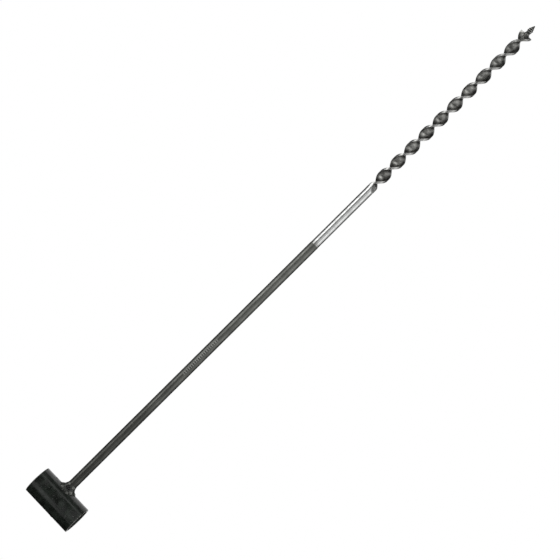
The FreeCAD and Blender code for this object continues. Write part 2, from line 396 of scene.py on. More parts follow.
# Large drops: place along the eye as a share of its half length, angle round it from the rod
# towards the front, and radius in millimetres.
LARGE_DROPS = [
    (0.54, 2.0, 1.5),
    (-0.25, 178.0, 1.9),
    (-0.84, 77.0, 1.3),
    (-0.65, 97.0, 1.4),
    (-0.9, 96.0, 1.0),
    (0.29, 56.0, 1.1),
    (-0.49, 34.0, 1.6),
    (0.08, 87.0, 0.9),
    (0.4, -52.0, 1.2),
    (-0.55, -71.0, 1.0),
]


def eye_normal(angle_degrees):
    """Outward direction on the eye, at that angle from the rod towards the front."""
    a = math.radians(angle_degrees)
    return Vector((0, -math.sin(a), -math.cos(a)))


def drop_points():
    """Loose points for the large drops, with their outward direction and radius as attributes."""
    mesh = bpy.data.meshes.new("drop_points")
    places = [eye_normal(a) * EYE_R + Vector((s * EYE_HALF, 0, 0)) for s, a, _ in LARGE_DROPS]
    mesh.from_pydata(places, [], [])
    out = mesh.attributes.new("out", "FLOAT_VECTOR", "POINT")
    out.data.foreach_set("vector", [c for _, a, _ in LARGE_DROPS for c in eye_normal(a)])
    size = mesh.attributes.new("size", "FLOAT", "POINT")
    size.data.foreach_set("value", [mm(r) for _, _, r in LARGE_DROPS])
    return bpy.data.objects.new("drop_points", mesh)


def eye_patch(bm, along, angles):
    """Adds a patch of the eye's surface between two places along it and two angles round it."""
    shares = [i / PATCH_CELLS for i in range(PATCH_CELLS + 1)]
    grid = []
    for share in shares:
        x = along[0] + (along[1] - along[0]) * share
        turn = [angles[0] + (angles[1] - angles[0]) * t for t in shares]
        grid.append([bm.verts.new(eye_normal(t) * EYE_R + Vector((x, 0, 0))) for t in turn])
    for i in range(PATCH_CELLS):
        for j in range(PATCH_CELLS):
            bm.faces.new((grid[i][j], grid[i][j + 1], grid[i + 1][j + 1], grid[i + 1][j]))


def spatter_ground():
    """The patches that small drops landed on."""
    bm = bmesh.new()
    eye_patch(bm, (mm(-24), mm(-13)), (-50, 60))
    eye_patch(bm, (mm(13), mm(20)), (-50, 50))
    eye_patch(bm, (mm(-38), mm(-24)), (60, 118))
    bmesh.ops.recalc_face_normals(bm, faces=bm.faces)
    mesh = bpy.data.meshes.new("spatter_ground")
    bm.to_mesh(mesh)
    bm.free()
    return bpy.data.objects.new("spatter_ground", mesh)


# %% [markdown]
# A node tree is built here link by link. Its sizes come in through named inputs, and the modifier
# that runs it is given each value by the socket's identifier. The result is read back as a plain
# mesh, and the modifier and its helper objects go.

# %% Geometry Nodes helpers


def new_tree(name, sockets):
    """Geometry node tree with a geometry input and output, and the named inputs given."""
    tree = bpy.data.node_groups.new(name, "GeometryNodeTree")
    tree.interface.new_socket("Geometry", in_out="INPUT", socket_type="NodeSocketGeometry")
    tree.interface.new_socket("Geometry", in_out="OUTPUT", socket_type="NodeSocketGeometry")
    for label, kind in sockets.items():
        tree.interface.new_socket(label, in_out="INPUT", socket_type=kind)
    return tree, tree.nodes.new("NodeGroupInput"), tree.nodes.new("NodeGroupOutput")


def run_tree(name, source, tree, values):
    """Runs the tree on the source object and returns the result as a plain linked object."""
    scene.collection.objects.link(source)
    modifier = source.modifiers.new(tree.name, "NODES")
    modifier.node_group = tree
    for item in tree.interface.items_tree:
        if item.in_out == "INPUT" and item.name in values:
            modifier[item.identifier] = values[item.name]
    bpy.context.view_layer.update()
    graph = bpy.context.evaluated_depsgraph_get()
    mesh = bpy.data.meshes.new_from_object(source.evaluated_get(graph))
    mesh.name = name
    bpy.data.objects.remove(source)
    piece = bpy.data.objects.new(name, mesh)
    scene.collection.objects.link(piece)
    return piece


# %% [markdown]
# A droplet is a ball pressed flat, so the spatter tree needs one ball. It puts a copy on each
# chosen point, strews more over the patches, makes them all real mesh and presses soft dents in
# them, so that none looks turned on a lathe.

# %% Spatter tree


def flat_scale(tree, radius, rise):
    """Scale of a dome: its radius both ways, and a share of it upwards."""
    height = calc(tree, "MULTIPLY", radius, rise)
    return add_node(tree, "ShaderNodeCombineXYZ", X=radius, Y=radius, Z=height).outputs[0]


def push_by_noise(tree, geometry, size, depth, mask=None):
    """Moves each point inwards along its normal by up to the depth given, in soft dents."""
    spot = add_node(tree, "GeometryNodeInputPosition")
    normal = add_node(tree, "GeometryNodeInputNormal")
    scale = calc(tree, "DIVIDE", 1.0, size)
    dents = add_node(tree, "ShaderNodeTexNoise", Vector=spot.outputs[0], Scale=scale, Detail=2.0)
    sink = calc(tree, "MULTIPLY", dents.outputs[0], depth)
    if mask is not None:
        sink = calc(tree, "MULTIPLY", sink, mask)
    step = add_node(
        tree,
        "ShaderNodeVectorMath",
        {"operation": "SCALE"},
        i0=normal.outputs[0],
        Scale=calc(tree, "MULTIPLY", sink, -1.0),
    )
    moved = add_node(tree, "GeometryNodeSetPosition", Geometry=geometry, Offset=step.outputs[0])
    return moved.outputs[0]


def spatter_tree():
    """Domes on the given points, and random smaller ones scattered over the ground object."""
    tree, given, result = new_tree(
        "spatter",
        {
            "Ground": "NodeSocketObject",
            "Small drops per square metre": "NodeSocketFloat",
            "Smallest radius": "NodeSocketFloat",
            "Largest radius": "NodeSocketFloat",
            "Rise": "NodeSocketFloat",
            "Dent size": "NodeSocketFloat",
            "Dent depth": "NodeSocketFloat",
            "Seed": "NodeSocketInt",
            "Material": "NodeSocketMaterial",
        },
    )
    want = given.outputs
    ball = add_node(tree, "GeometryNodeMeshUVSphere", Segments=20, Rings=12, Radius=1.0)

    stored = "GeometryNodeInputNamedAttribute"
    out_way = add_node(tree, stored, {"data_type": "FLOAT_VECTOR"}, Name="out")
    size = add_node(tree, stored, {"data_type": "FLOAT"}, Name="size")
    stand = add_node(tree, "FunctionNodeAlignRotationToVector", {"axis": "Z"}, Vector=out_way.outputs[0])
    large = add_node(
        tree,
        "GeometryNodeInstanceOnPoints",
        Points=want["Geometry"],
        Instance=ball.outputs["Mesh"],
        Rotation=stand.outputs[0],
        Scale=flat_scale(tree, size.outputs[0], want["Rise"]),
    )

    ground = add_node(tree, "GeometryNodeObjectInfo", Object=want["Ground"])
    strewn = add_node(
        tree,
        "GeometryNodeDistributePointsOnFaces",
        Mesh=ground.outputs["Geometry"],
        Density=want["Small drops per square metre"],
        Seed=want["Seed"],
    )
    lot = add_node(
        tree,
        "FunctionNodeRandomValue",
        {"data_type": "FLOAT"},
        i2=want["Smallest radius"],
        i3=want["Largest radius"],
        Seed=want["Seed"],
    )
    small = add_node(
        tree,
        "GeometryNodeInstanceOnPoints",
        Points=strewn.outputs["Points"],
        Instance=ball.outputs["Mesh"],
        Rotation=strewn.outputs["Rotation"],
        Scale=flat_scale(tree, lot.outputs[1], want["Rise"]),
    )

    both = add_node(tree, "GeometryNodeJoinGeometry", i0=large.outputs[0])
    tree.links.new(small.outputs[0], both.inputs[0])
    real = add_node(tree, "GeometryNodeRealizeInstances", Geometry=both.outputs[0])
    rough = push_by_noise(tree, real.outputs[0], want["Dent size"], want["Dent depth"])
    smooth = add_node(tree, "GeometryNodeSetShadeSmooth", Geometry=rough)
    dressed = add_node(
        tree, "GeometryNodeSetMaterial", Geometry=smooth.outputs[0], Material=want["Material"]
    )
    tree.links.new(dressed.outputs[0], result.inputs[0])
    return tree


# %% [markdown]
# ## The rod
#
# The rod is plain drawn bar, so it is rings on one axis. It has the slight waviness that drawn and
# straightened bar keeps, and a small chamfer where it meets the bit's thinner neck.

# %% Rod
ROD_CHAMFER = mm(0.25)
ROD_WAVE = mm(0.05)


def scaled_across(point, share):
    """The point moved towards or away from the tool's axis, at the same height."""
    return Vector((point.x * share, point.y * share, point.z))


def bar_ring(radius, z, wave, count=112):
    """Ring of a bar that sinks here and there by up to the wave given."""
    points = []
    for point in ring(radius, z, count):
        spot = Vector((point.x / mm(7), point.y / mm(7), z / mm(26)))
        sink = wave * (1 - noise.noise(spot)) / 2
        points.append(scaled_across(point, 1 - sink / radius))
    return points


def make_rod():
    """The bar in short lengths, chamfered at its lower end."""
    levels = [rod_high.z - (rod_high.z - rod_low.z - ROD_CHAMFER) * i / 150 for i in range(151)]
    rings = [bar_ring(ROD_R, z, ROD_WAVE) for z in levels]
    rings.append(bar_ring(ROD_R - ROD_CHAMFER, rod_low.z, 0))
    return skin("rod", rings)


rod = make_rod()
print("rod:", len(rod.data.polygons), "faces")

# %% [markdown]
# ## The strip's section
#
# The bit is one forging: a round bar hammered into a strip between dies, then twisted. One section
# serves for all of it. It is the part of a round bar that lies between two faces hollowed towards
# the middle. Where the faces are as far apart as the bar is thick, it is simply round. The four
# corners are rounded a little, as a forged and ground edge is.

# %% Section of the forging
ARC_STEPS = 24
CORNER_STEPS = 5
FACE_STEPS = 14


def face_height(x, middle, gain, strip_r):
    """Half thickness of the strip at distance x from the middle."""
    return middle + gain * (x / strip_r) ** 2


def polar(radius, angle):
    """Point across the tool at that radius and angle."""
    return (radius * math.cos(angle), radius * math.sin(angle))


def mirrored(quarter):
    """Full outline from its first quarter, which runs from the x axis to the y axis."""
    second = [(-x, y) for x, y in reversed(quarter[:-1])]
    upper = quarter + second
    lower = [(-x, -y) for x, y in upper[1:-1]]
    return upper + lower


def strip_section(bar_r, middle, gain, corner):
    """Outline of the forging across its width, as (x, y), for a bar of that radius."""
    x_edge = bar_r
    for _ in range(40):  # settles on the place where the face meets the bar's round side
        y_edge = min(bar_r, face_height(x_edge, middle, gain, TWIST_R))
        x_edge = 0.5 * (x_edge + math.sqrt(max(0.0, bar_r**2 - y_edge**2)))
    edge_angle = math.atan2(math.sqrt(max(0.0, bar_r**2 - x_edge**2)), x_edge)
    soft = min(corner, x_edge * 0.45)
    arc_end = edge_angle - soft / bar_r
    quarter = [polar(bar_r, arc_end * i / ARC_STEPS) for i in range(ARC_STEPS + 1)]
    first, peak = quarter[-1], polar(bar_r, edge_angle)
    x_face = x_edge - soft
    last = (x_face, min(bar_r, face_height(x_face, middle, gain, TWIST_R)))
    for i in range(1, CORNER_STEPS + 1):
        t = i / CORNER_STEPS
        bend = list(zip(((1 - t) ** 2, 2 * t * (1 - t), t * t), (first, peak, last)))
        quarter.append(tuple(sum(w * p[k] for w, p in bend) for k in (0, 1)))
    for i in range(1, FACE_STEPS + 1):
        x = x_face * (1 - i / FACE_STEPS)
        quarter.append((x, min(bar_r, face_height(x, middle, gain, TWIST_R))))
    return mirrored(quarter)


def set_section(outline, angle, z):
    """Outline turned about the tool's axis and set at height z."""
    turn = Matrix.Rotation(angle, 3, "Z")
    return [turn @ Vector((x, y, 0)) + Vector((0, 0, z)) for x, y in outline]


CORNER = mm(0.35)
WEB_HALF = WEB_T / 2
LAND_HALF_WIDTH = math.sqrt(TWIST_R**2 - (LAND_T / 2) ** 2)
HOLLOW = (LAND_T / 2 - WEB_HALF) * (TWIST_R / LAND_HALF_WIDTH) ** 2
outline = strip_section(TWIST_R, WEB_HALF, HOLLOW, CORNER)
print("points round the section:", len(outline))

# %% [markdown]
# ## The neck and its run-out
#
# The neck is the bar before it was hammered. Near its lower end two flats start, deepen and widen
# until the bar has become strip, and the bar swells sideways at the same time because the metal
# has to go somewhere.

# %% Neck


def smooth_step(share):
    """0 to 1 with no corner at either end."""
    share = min(1.0, max(0.0, share))
    return share * share * (3 - 2 * share)


def runout_section(share):
    """Section in the run-out, from the strip at share 0 to the round bar at share 1."""
    bar_r = NECK_R + (TWIST_R - NECK_R) * (1 - smooth_step(share))
    climb = 1 - 0.35 * math.sqrt(max(0.0, 1 - share**2)) - 0.65 * (1 - share)
    middle = WEB_HALF + (NECK_R - WEB_HALF) * climb
    return strip_section(bar_r, middle, HOLLOW * (1 - share), CORNER * (1 - share) + mm(0.02))


def make_neck():
    """The round bar, and the run-out down to the strip's own section."""
    round_outline = strip_section(NECK_R, NECK_R, 0, mm(0.02))
    levels = [neck_high.z - (neck_high.z - RUNOUT_TOP) * i / 44 for i in range(44)]
    rings = [set_section(round_outline, START_ANGLE, z) for z in levels]
    for i in range(41):
        share = 1 - i / 40
        z = twist_high.z + RUNOUT * share
        rings.append(set_section(runout_section(share), START_ANGLE, z))
    return skin("neck", rings, sharp_degrees=40)


neck = make_neck()
print("neck:", len(neck.data.polygons), "faces")

# %% [markdown]
# ## The twist
#
# The smith made the strip straight and then twisted it. The script does the same. First it builds
# a straight bar with the strip's section. Then a small node tree turns each point about the tool's
# axis by an angle that grows with its height, one turn to the pitch, and presses shallow hammer
# dents into the hollow faces. The ground edges stay true, so the dents are masked off there.

# %% Straight bar, twisted by Geometry Nodes


def straight_bar():
    """The strip before it is twisted."""
    steps = 300
    outline = strip_section(TWIST_R, WEB_HALF, HOLLOW, CORNER)
    levels = [twist_high.z + (twist_low.z - twist_high.z) * i / steps for i in range(steps + 1)]
    return skin("bar", [set_section(outline, 0, z) for z in levels], sharp_degrees=60)


def twist_tree():
    """Winds a straight bar about the tool's axis and dents its faces."""
    tree, given, result = new_tree(
        "twist",
        {
            "Pitch": "NodeSocketFloat",
            "Start angle": "NodeSocketFloat",
            "Start height": "NodeSocketFloat",
            "Length": "NodeSocketFloat",
            "Face radius": "NodeSocketFloat",
            "Dent size": "NodeSocketFloat",
            "Dent depth": "NodeSocketFloat",
            "Material": "NodeSocketMaterial",
        },
    )
    want = given.outputs
    spot = add_node(tree, "GeometryNodeInputPosition")
    parts = add_node(tree, "ShaderNodeSeparateXYZ", Vector=spot.outputs[0])
    down = calc(tree, "SUBTRACT", parts.outputs["Z"], want["Start height"])
    turns = calc(tree, "DIVIDE", down, want["Pitch"])
    angle = calc(tree, "ADD", calc(tree, "MULTIPLY", turns, 2 * math.pi), want["Start angle"])
    turned = add_node(
        tree,
        "ShaderNodeVectorRotate",
        {"rotation_type": "Z_AXIS"},
        Vector=spot.outputs[0],
        Angle=angle,
    )
    wound = add_node(
        tree, "GeometryNodeSetPosition", Geometry=want["Geometry"], Position=turned.outputs[0]
    )
    across = add_node(tree, "ShaderNodeCombineXYZ", X=parts.outputs["X"], Y=parts.outputs["Y"])
    radius = add_node(tree, "ShaderNodeVectorMath", {"operation": "LENGTH"}, i0=across.outputs[0])
    face_end = calc(tree, "ADD", want["Face radius"], mm(0.6))
    on_face = fade(tree, radius.outputs["Value"], want["Face radius"], face_end, 1.0, 0.0)
    far = calc(tree, "ADD", down, want["Length"])
    from_ends = calc(
        tree, "MULTIPLY", fade(tree, far, 0.0, mm(4)), fade(tree, down, mm(-4), 0.0, 1.0, 0.0)
    )
    mask = calc(tree, "MULTIPLY", on_face, from_ends)
    dented = push_by_noise(tree, wound.outputs[0], want["Dent size"], want["Dent depth"], mask)
    real = add_node(tree, "GeometryNodeRealizeInstances", Geometry=dented)
    dressed = add_node(
        tree, "GeometryNodeSetMaterial", Geometry=real.outputs[0], Material=want["Material"]
    )
    tree.links.new(dressed.outputs[0], result.inputs[0])
    return tree


# %% [markdown]
# ## The cutting head
#
# At its end the strip widens to the cutting diameter and carries two lips, one each side of the
# screw. Behind each cutting edge a heel backs it up. The head is built as the smith built it. The
# rough forging comes first: the flared strip and the two heels, melted into one skin and smoothed.
# Then come the filed faces, which are crisp: the relief under each lip and the rake facet on its
# leading side are cut with flat tools. A round hub joins the lips to the screw.

# %% Head forging
LIP_PLANE = screw_high.z
LIP_ANGLE = strip_angle(LIP_PLANE)
LIP_HEIGHT = mm(5.2)
LIP_BACK = HEAD_LAND_T / 2 + mm(0.9)
SKIN_CELL = mm(0.17)


def head_ring(share):
    """Section of the head's strip, that far down it."""
    flare = smooth_step((share - 0.2) / 0.4)
    radius = TWIST_R + (HEAD_R - TWIST_R) * flare
    land = LAND_T + (HEAD_LAND_T - LAND_T) * share
    z = twist_low.z + (LIP_PLANE - twist_low.z) * share
    edge_x = math.sqrt(radius**2 - (land / 2) ** 2)
    gain = (land / 2 - WEB_HALF) * (TWIST_R / edge_x) ** 2
    return set_section(strip_section(radius, WEB_HALF, gain, CORNER), strip_angle(z), z)


def heel_ring(height, turn):
    """Outline of the heel behind one lip, turned to follow the strip."""
    sweep = math.asin(LIP_BACK / HEAD_R)
    rim = [polar(HEAD_R, sweep * i / 12) for i in range(13)]
    back = [(rim[-1][0] * (1 - i / 12), LIP_BACK) for i in range(1, 13)]
    flat = [(0.0, LIP_BACK * (1 - i / 6)) for i in range(1, 7)]
    front = [(HEAD_R * i / 12, 0.0) for i in range(1, 12)]
    angle = LIP_ANGLE + turn + height * TURN
    return set_section(rim + back + flat + front, angle, LIP_PLANE + height)


# %% [markdown]
# A modifier does its work on a piece and is then dropped, so that a plain mesh is left. Voxel
# remesh melts the overlapping blanks into one closed skin, and a little smoothing rounds the
# inner corners as a hammered forging has them.

# %% Melt the head together


def modified(piece, kind, **settings):
    """Puts one modifier on the piece, keeps its result as the piece's mesh and drops it."""
    modifier = piece.modifiers.new("work", kind)
    for key, value in settings.items():
        setattr(modifier, key, value)
    bpy.context.view_layer.update()
    graph = bpy.context.evaluated_depsgraph_get()
    mesh = bpy.data.meshes.new_from_object(piece.evaluated_get(graph))
    piece.modifiers.remove(modifier)
    piece.data = mesh
    return piece


def joined(pieces, name):
    """One object from several that overlap or touch."""
    bm = bmesh.new()
    for piece in pieces:
        bm.from_mesh(piece.data)
        bpy.data.objects.remove(piece)
    mesh = bpy.data.meshes.new(name)
    bm.to_mesh(mesh)
    bm.free()
    whole = bpy.data.objects.new(name, mesh)
    scene.collection.objects.link(whole)
    return whole


def head_forging():
    """The flared strip and its heels, melted into one skin and smoothed."""
    shares = [-0.12] + [i / 36 for i in range(37)]
    blank = [skin("strip", [head_ring(s) for s in shares])]
    for turn in (0, math.pi):
        blank.append(skin("heel", [heel_ring(LIP_HEIGHT * i / 12, turn) for i in range(13)]))
    forging = joined(blank, "cutting_head_skin")
    modified(forging, "REMESH", mode="VOXEL", voxel_size=SKIN_CELL)
    modified(forging, "SMOOTH", factor=0.5, iterations=6)
    return forging


forging = head_forging()
print("forging:", len(forging.data.polygons), "faces")

# %% [markdown]
# The cutters are plain solids set in the lips' own frame: the cutting edges lie along X at height
# zero. Each is used twice, half a turn apart. The exact boolean failed on one other size of the
# facet and left a stray box on the head, so after a change here the head's size is looked at.

# %% Filed faces
RELIEF = math.radians(19)
RAKE_START_R = mm(3.2)
RAKE_HEIGHT = mm(4.6)
RAKE_DEPTH = mm(1.7)


def solid(name, corners, faces):
    """Closed flat-faced solid from its corners, in metres."""
    bm = bmesh.new()
    verts = [bm.verts.new(c) for c in corners]
    for face in faces:
        bm.faces.new([verts[i] for i in face])
    return finish_mesh(name, bm, sharp_degrees=1)


BOX_FACES = [(0, 1, 2, 3), (4, 7, 6, 5), (0, 4, 5, 1), (1, 5, 6, 2), (2, 6, 7, 3), (3, 7, 4, 0)]


def box_corners(low, high):
    """Corners of a box in the order that BOX_FACES names them."""
    lower = [(low[0], low[1]), (high[0], low[1]), (high[0], high[1]), (low[0], high[1])]
    return [Vector((x, y, z)) for z in (low[2], high[2]) for x, y in lower]


def in_lip_frame(piece, turn):
    """Moves a cutter from the lips' frame to its place on the tool."""
    home = Matrix.Translation((0, 0, LIP_PLANE)) @ Matrix.Rotation(LIP_ANGLE + turn, 4, "Z")
    piece.data.transform(home)
    return piece


def relief_cutter(turn):
    """Block whose top slopes up behind one cutting edge."""
    reach = 2 * HEAD_R
    corners = box_corners((0, 0, -reach), (reach, 2 * reach, 0))
    tilt = Matrix.Translation((0, -HEAD_LAND_T / 2, 0)) @ Matrix.Rotation(RELIEF, 4, "X")
    return in_lip_frame(solid("relief", [tilt @ c for c in corners], BOX_FACES), turn)


def rake_cutter(turn):
    """Wedge that takes a flat facet off one lip's leading face, deepest at the outer corner.

    The face leans back as the strip turns, so the facet's upper corner is turned with it.
    """
    face = -HEAD_LAND_T / 2
    start = Vector((RAKE_START_R, -WEB_HALF, 0))
    leaning = Matrix.Rotation(RAKE_HEIGHT * TURN, 3, "Z") @ Vector((HEAD_R, face, 0))
    up_rim = (leaning + Vector((0, 0, RAKE_HEIGHT)) - start) * 1.3
    to_corner = (Vector((HEAD_R, face + RAKE_DEPTH, 0)) - start) * 1.3
    outward = to_corner.cross(up_rim).normalized() * HEAD_LAND_T
    base = [start, start + to_corner, start + up_rim]
    faces = [(0, 1, 2), (5, 4, 3), (0, 3, 4, 1), (1, 4, 5, 2), (2, 5, 3, 0)]
    return in_lip_frame(solid("rake", base + [p + outward for p in base], faces), turn)


# %% [markdown]
# A boolean takes a cutter's shape off the head, or adds the hub. A plane cut gives the head a
# clean square top, where it meets the twist.

# %% Cut, trim and hub
HUB_R = mm(4.4)
HUB_END_R = mm(0.8)
HUB_LENGTH = mm(9)


def cut(piece, cutter, operation="DIFFERENCE"):
    """Boolean between the piece and a cutter, which is then thrown away."""
    settings = {"operation": operation, "solver": "EXACT", "material_mode": "TRANSFER"}
    modified(piece, "BOOLEAN", object=cutter, **settings)
    bpy.data.objects.remove(cutter)
    return piece


def trim_top(piece, z):
    """Cuts the piece square at height z and closes it there."""
    bm = bmesh.new()
    bm.from_mesh(piece.data)
    geometry = bm.verts[:] + bm.edges[:] + bm.faces[:]
    made = bmesh.ops.bisect_plane(
        bm, geom=geometry, plane_co=(0, 0, z), plane_no=(0, 0, 1), clear_outer=True
    )
    rim = [item for item in made["geom_cut"] if isinstance(item, bmesh.types.BMEdge)]
    bmesh.ops.holes_fill(bm, edges=rim, sides=0)
    bm.to_mesh(piece.data)
    bm.free()
    return piece


def hub():
    """Round boss between the lips, tapering up into the strip."""
    profile = [(HUB_R, 0), (HUB_R - mm(0.05), mm(0.3))]
    profile += [(HUB_R - (HUB_R - HUB_END_R) * i / 12, HUB_LENGTH * i / 12) for i in range(1, 13)]
    return skin("hub", [ring(r, LIP_PLANE + h, 64) for r, h in profile])


# %% [markdown]
# ## The screw point
#
# A thread on a cone is a stack of sections, each a spiral cam: the outline rises from the root to
# the crest and falls back in one turn. Turning each section a little further than the one below
# winds the crest into a right-handed thread. Here the points of a ring turn with it, so a line of
# points runs exactly along the crest and keeps it sharp. The height above the root is kept with
# each point, because the material shines there.

# %% Screw point
SCREW_LENGTH = screw_high.z - screw_low.z
SCREW_NECK = mm(3.4)
SCREW_PITCH = mm(3.1)
SCREW_STEPS = 48
TIP_R = mm(0.75)
CREST_R = mm(4.2)
SCREW_NECK_R = mm(3.3)
TAPER = 0.62  # share of the thread over which its crest widens
ROOT_SHARE = 0.72  # root radius, as a share of the crest's
CREST_TURN = 0.42  # how far round the crest falls to the root, in turns
CREST_ROUNDING = 0.5
NECK_FLARE = ((1.2, 1.0), (2.4, 1.02), (3.0, 1.07), (3.4, 1.15))  # rise in millimetres, growth


def cam(share):
    """Root and crest radius that far up the thread."""
    dies_away = smooth_step((1 - share) / 0.15)
    full = TIP_R + (CREST_R - TIP_R) * min(1.0, share / TAPER)
    crest = SCREW_NECK_R + (full - SCREW_NECK_R) * dies_away
    root = SCREW_NECK_R + (full * ROOT_SHARE - SCREW_NECK_R) * dies_away
    return root, crest


def screw_ring(share, thread_length):
    """One section of the thread, turned to its height."""
    root, crest = cam(share)
    z = thread_length * share
    start = LIP_ANGLE + 2 * math.pi * z / SCREW_PITCH
    points = []
    for i in range(SCREW_STEPS):
        turn = i / SCREW_STEPS
        height = max(0.0, 1 - min(turn, 1 - turn) / CREST_TURN) ** CREST_ROUNDING
        x, y = polar(root + (crest - root) * height, start + 2 * math.pi * turn)
        points.append(Vector((x, y, screw_low.z + z)))
    return points


def make_screw():
    """The thread from its tip up, and the neck that carries it into the hub."""
    thread_length = SCREW_LENGTH - SCREW_NECK
    count = math.ceil(thread_length / SCREW_PITCH * 40)
    rings = [screw_ring(i / count, thread_length) for i in range(count + 1)]
    top = rings[-1]
    for rise, grow in NECK_FLARE:
        lifted = [scaled_across(p, grow) + Vector((0, 0, mm(rise))) for p in top]
        rings.append(lifted)
    return skin("lead_screw_skin", rings, sharp_degrees=50)


def mark_crest(screw):
    """Keeps each point's height above the root, from 0 to 1 at the crest, for the material."""
    crest = screw.data.attributes.new("crest", "FLOAT", "POINT")
    for i, vertex in enumerate(screw.data.vertices):
        share = (vertex.co.z - screw_low.z) / (SCREW_LENGTH - SCREW_NECK)
        low_r, high_r = cam(min(1.0, share))
        out = (math.hypot(vertex.co.x, vertex.co.y) - low_r) / max(mm(0.2), high_r - low_r)
        crest.data[i].value = min(1.0, max(0.0, out)) if share < 0.97 else 0.0


screw = make_screw()
mark_crest(screw)
print("screw:", len(screw.data.polygons), "faces")

# %% [markdown]
# ## Materials
#
# Every pattern is laid out in the object's own coordinates, turned to millimetres, so a size in
# the code is a real size on the tool. A stretch makes lines: a noise stretched sixty times along
# the rod looks like the lines that a drawing die leaves.

# %% Pattern helpers


def place(tree, stretch=(1, 1, 1)):
    """Object coordinates in millimetres, each divided by its stretch."""
    spot = add_node(tree, "ShaderNodeTexCoord").outputs["Object"]
    scale = [1000 / s for s in stretch]
    sized = add_node(tree, "ShaderNodeVectorMath", {"operation": "MULTIPLY"}, i0=spot, i1=scale)
    return sized.outputs[0]


def mottle(tree, size, stretch=(1, 1, 1), detail=3.0, roughness=0.55):
    """Cloudy value from 0 to 1, with clouds of that size in millimetres."""
    spot = place(tree, stretch)
    clouds = add_node(
        tree, "ShaderNodeTexNoise", Vector=spot, Scale=1 / size, Detail=detail, Roughness=roughness
    )
    return clouds.outputs[0]


def mix(tree, share, first, second):
    """Colour between two colours."""
    made = add_node(tree, "ShaderNodeMix", {"data_type": "RGBA"}, i0=share, i6=first, i7=second)
    return made.outputs[2]


def blend(tree, share, first, second):
    """Value between two values."""
    made = add_node(tree, "ShaderNodeMix", {"data_type": "FLOAT"}, i0=share, i2=first, i3=second)
    return made.outputs[0]


def axis_value(tree, axis):
    """One object coordinate in millimetres."""
    return add_node(tree, "ShaderNodeSeparateXYZ", Vector=place(tree)).outputs[axis]


def axis_distance(tree):
    """Distance from the tool's own axis in millimetres."""
    flat = place(tree, (1, 1, 1e9))
    return add_node(tree, "ShaderNodeVectorMath", {"operation": "LENGTH"}, i0=flat).outputs["Value"]


def relief(tree, shader, *layers):
    """Bump from layers of (height, depth in millimetres), each on top of the one before."""
    normal = None
    for height, depth in layers:
        layer = add_node(tree, "ShaderNodeBump", Height=height, Distance=mm(depth))
        if normal is not None:
            tree.links.new(normal, layer.inputs["Normal"])
        normal = layer.outputs[0]
    tree.links.new(normal, shader.inputs["Normal"])


def dress(tree, shader, colour, roughness, metallic=0.0):
    """Sets a shader's main inputs, from values or sockets."""
    for label, value in (("Base Color", colour), ("Roughness", roughness), ("Metallic", metallic)):
        if isinstance(value, bpy.types.NodeSocket):
            tree.links.new(value, shader.inputs[label])
        else:
            shader.inputs[label].default_value = value


# %% [markdown]
# ### Paint on the eye and the weld
#
# Black enamel, brushed or sprayed over bare tube: dark, faintly green, with orange peel, dust
# nibs, and some wear where the sawn rims have been knocked. Over the weld the same paint is duller
# and picks up the bead's grain. It is pale on the bead's lumps, for paint rubbed thin and as a
# painted highlight, and near black in its crater, as painted shade.

# %% Paint materials


def enamel():
    """Gloss black enamel on steel tube: nearly black, with sharp but uneven reflections."""
    material, tree, shader = new_material("gloss_black_enamel")
    base = mix(tree, fade(tree, mottle(tree, 9), 0.35, 0.7), srgb("111411"), srgb("222823"))
    nibs = fade(tree, mottle(tree, 0.8, detail=1), 0.7, 0.76)
    base = mix(tree, calc(tree, "MULTIPLY", nibs, 0.5), base, srgb("6a6c68"))
    end = calc(tree, "ABSOLUTE", axis_value(tree, "X"))
    worn = calc(tree, "MULTIPLY", fade(tree, end, 38.9, 39.7), fade(tree, mottle(tree, 2.2), 0.42, 0.6))
    base = mix(tree, calc(tree, "MULTIPLY", worn, 0.55), base, srgb("6e6a62"))
    dull = blend(tree, fade(tree, mottle(tree, 12), 0.3, 0.7), 0.14, 0.3)
    scratch = fade(tree, mottle(tree, 0.5, (14, 1, 1), detail=2), 0.6, 0.72)
    dress(tree, shader, base, calc(tree, "ADD", dull, calc(tree, "MULTIPLY", scratch, 0.12)))
    relief(tree, shader, (mottle(tree, 1.6, detail=1), 0.03), (nibs, 0.04), (scratch, 0.006))
    return material


def weld_paint():
    """Thin black paint over a weld bead and its spatter: pale where the bead stands proud, for paint
    rubbed thin and as a painted highlight, and near black where it sinks, as painted shade.
    """
    material, tree, shader = new_material("black_paint_on_weld")
    patches = fade(tree, mottle(tree, 2.6), 0.35, 0.65)
    base = mix(tree, patches, srgb("171916"), srgb("333531"))
    proud = add_node(tree, "ShaderNodeAttribute", {"attribute_name": "proud"}).outputs["Fac"]
    # Pale where the bead stands proud: paint rubbed thin there, and a painted highlight on the lumps.
    uneven = fade(tree, mottle(tree, 1.3), 0.3, 0.6)
    rubbed = calc(tree, "MULTIPLY", fade(tree, proud, 0.35, 1.1), uneven)
    base = mix(tree, calc(tree, "MULTIPLY", rubbed, 0.85), base, srgb("8f918b"))
    # Near black where the bead sinks: painted shade in the crater.
    base = mix(tree, fade(tree, proud, -0.2, -1.0), base, srgb("0b0c0b"))
    dress(tree, shader, base, blend(tree, patches, 0.16, 0.38))
    relief(tree, shader, (mottle(tree, 1.2), 0.06), (mottle(tree, 0.3, detail=2), 0.015))
    return material


# %% [markdown]
# ### The rod's skin
#
# The rod is black bar, oxidised and oiled, and rubbed greyer towards the bit, where hands and soil
# wear it. Fine lines run along it. A row of faint ticks is scribed on the front, with nothing to
# read in it.

# %% Rod material
TICKS_LOW = -312  # heights and spacing of the ticks, in millimetres
TICKS_HIGH = -246
TICK_STEP = 3.4


